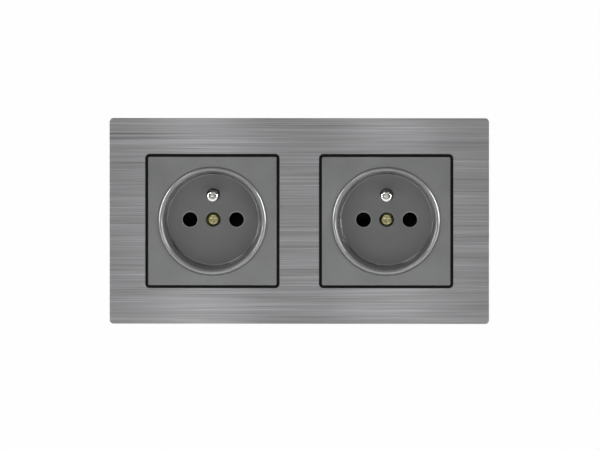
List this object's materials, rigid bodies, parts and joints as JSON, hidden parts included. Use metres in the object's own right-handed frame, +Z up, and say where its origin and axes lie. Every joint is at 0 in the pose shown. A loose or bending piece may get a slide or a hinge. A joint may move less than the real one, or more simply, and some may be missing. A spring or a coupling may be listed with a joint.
{
  "type": "duplex wall outlet",
  "caption": "Two-gang flush wall outlet: round recessed wells with earth pins and shuttered contact holes in a brushed-metal frame, over screw-fixed and claw-fixed mechanisms.",
  "frame": {"origin": "on the wall surface, midway between the two sockets, at the centre of the frame", "axes": "+X to the right along the frame's length, +Z up, +Y into the wall; the front faces -Y"},
  "size_m": [0.155, 0.0388, 0.084],
  "materials": {
    "brushed_panel": "brushed sideways, clear satin",
    "black_plastic": "matt black",
    "grey_plate": "dark grey metallic satin",
    "grey_well": "dark grey metallic satin",
    "pale_plastic": "plain moulded",
    "base_plastic": "plain moulded, charcoal",
    "yellow_zinc": "yellow-passivated zinc on steel",
    "zinc_steel": "bright zinc on steel",
    "yoke_steel": "zinc-plated pressed sheet",
    "spring_steel": "bright drawn wire",
    "nickel_brass": "nickel-plated brass, turned",
    "brass": "plain machined brass",
    "contact_bronze": "pressed spring bronze"
  },
  "bodies": {
    "outlet": {"cover_panel": "brushed_panel", "carrier_frame": "black_plastic", "left_centre_plate": "grey_plate", "left_socket_well": "grey_well", "left_centre_screw": "yellow_zinc", "left_shutter_spring": "spring_steel", "left_contact_cover": "pale_plastic", "left_earth_pin": "nickel_brass", "left_earth_strip": "brass", "left_live_contact": "contact_bronze", "left_neutral_contact": "contact_bronze", "left_live_terminal": "brass", "left_neutral_terminal": "brass", "left_earth_terminal": "brass", "left_base": "base_plastic", "left_yoke": "yoke_steel", "left_yoke_screws": "zinc_steel", "left_claw_pins": "spring_steel", "right_centre_plate": "grey_plate", "right_socket_well": "grey_well", "right_centre_screw": "yellow_zinc", "right_shutter_spring": "spring_steel", "right_contact_cover": "pale_plastic", "right_earth_pin": "nickel_brass", "right_earth_strip": "brass", "right_live_contact": "contact_bronze", "right_neutral_contact": "contact_bronze", "right_live_terminal": "brass", "right_neutral_terminal": "brass", "right_earth_terminal": "brass", "right_base": "base_plastic", "right_yoke": "yoke_steel", "right_yoke_screws": "zinc_steel", "right_claw_pins": "spring_steel"},
    "left_shutter": {"left_shutter": "black_plastic"},
    "left_live_terminal_screw": {"left_live_terminal_screw": "zinc_steel"},
    "left_neutral_terminal_screw": {"left_neutral_terminal_screw": "zinc_steel"},
    "left_earth_terminal_screw": {"left_earth_terminal_screw": "yellow_zinc"},
    "left_upper_claw": {"left_upper_claw": "zinc_steel"},
    "left_lower_claw": {"left_lower_claw": "zinc_steel"},
    "left_upper_claw_screw": {"left_upper_claw_screw": "zinc_steel"},
    "left_lower_claw_screw": {"left_lower_claw_screw": "zinc_steel"},
    "right_shutter": {"right_shutter": "black_plastic"},
    "right_live_terminal_screw": {"right_live_terminal_screw": "zinc_steel"},
    "right_neutral_terminal_screw": {"right_neutral_terminal_screw": "zinc_steel"},
    "right_earth_terminal_screw": {"right_earth_terminal_screw": "yellow_zinc"},
    "right_upper_claw": {"right_upper_claw": "zinc_steel"},
    "right_lower_claw": {"right_lower_claw": "zinc_steel"},
    "right_upper_claw_screw": {"right_upper_claw_screw": "zinc_steel"},
    "right_lower_claw_screw": {"right_lower_claw_screw": "zinc_steel"}
  },
  "joints": [
    {"name": "left_shutter_turn", "type": "hinge", "parent": "outlet", "child": "left_shutter", "pos_m": [-0.0355, 0.01005, 0], "axis": [0, 1, 0], "range_deg": [0, 36], "stiffness_Nm_per_rad": 0.002, "springref_deg": -20.05, "deforming": ["left_shutter_spring"]},
    {"name": "left_live_clamping", "type": "slide", "parent": "outlet", "child": "left_live_terminal_screw", "axis": [0, 0, 1], "range_m": [0, 0.0028]},
    {"name": "left_neutral_clamping", "type": "slide", "parent": "outlet", "child": "left_neutral_terminal_screw", "axis": [0, 0, 1], "range_m": [0, 0.0028]},
    {"name": "left_earth_clamping", "type": "slide", "parent": "outlet", "child": "left_earth_terminal_screw", "axis": [0, 0, -1], "range_m": [0, 0.0028]},
    {"name": "left_upper_claw_screw_turn", "type": "hinge", "parent": "outlet", "child": "left_upper_claw_screw", "pos_m": [-0.0086, 0, 0.0086], "axis": [0, 1, 0], "range_deg": [0, 968]},
    {"name": "left_upper_claw_spread", "type": "hinge", "parent": "outlet", "child": "left_upper_claw", "pos_m": [-0.0116, 0.0022, 0.0086], "axis": [0, 0, -1], "range_deg": [0, 22]},
    {"name": "left_lower_claw_screw_turn", "type": "hinge", "parent": "outlet", "child": "left_lower_claw_screw", "pos_m": [-0.0624, 0, -0.0086], "axis": [0, 1, 0], "range_deg": [0, 968]},
    {"name": "left_lower_claw_spread", "type": "hinge", "parent": "outlet", "child": "left_lower_claw", "pos_m": [-0.0594, 0.0022, -0.0086], "axis": [0, 0, 1], "range_deg": [0, 22]},
    {"name": "right_shutter_turn", "type": "hinge", "parent": "outlet", "child": "right_shutter", "pos_m": [0.0355, 0.01005, 0], "axis": [0, 1, 0], "range_deg": [0, 36], "stiffness_Nm_per_rad": 0.002, "springref_deg": -20.05, "deforming": ["right_shutter_spring"]},
    {"name": "right_live_clamping", "type": "slide", "parent": "outlet", "child": "right_live_terminal_screw", "axis": [0, 0, 1], "range_m": [0, 0.0028]},
    {"name": "right_neutral_clamping", "type": "slide", "parent": "outlet", "child": "right_neutral_terminal_screw", "axis": [0, 0, 1], "range_m": [0, 0.0028]},
    {"name": "right_earth_clamping", "type": "slide", "parent": "outlet", "child": "right_earth_terminal_screw", "axis": [0, 0, -1], "range_m": [0, 0.0028]},
    {"name": "right_upper_claw_screw_turn", "type": "hinge", "parent": "outlet", "child": "right_upper_claw_screw", "pos_m": [0.0624, 0, 0.0086], "axis": [0, 1, 0], "range_deg": [0, 968]},
    {"name": "right_upper_claw_spread", "type": "hinge", "parent": "outlet", "child": "right_upper_claw", "pos_m": [0.0594, 0.0022, 0.0086], "axis": [0, 0, -1], "range_deg": [0, 22]},
    {"name": "right_lower_claw_screw_turn", "type": "hinge", "parent": "outlet", "child": "right_lower_claw_screw", "pos_m": [0.0086, 0, -0.0086], "axis": [0, 1, 0], "range_deg": [0, 968]},
    {"name": "right_lower_claw_spread", "type": "hinge", "parent": "outlet", "child": "right_lower_claw", "pos_m": [0.0116, 0.0022, -0.0086], "axis": [0, 0, 1], "range_deg": [0, 22]}
  ],
  "couplings": [
    {"joint": "left_upper_claw_spread", "follows": "left_upper_claw_screw_turn", "ratio": 0.022727},
    {"joint": "left_lower_claw_spread", "follows": "left_lower_claw_screw_turn", "ratio": 0.022727},
    {"joint": "right_upper_claw_spread", "follows": "right_upper_claw_screw_turn", "ratio": 0.022727},
    {"joint": "right_lower_claw_spread", "follows": "right_lower_claw_screw_turn", "ratio": 0.022727}
  ]
}
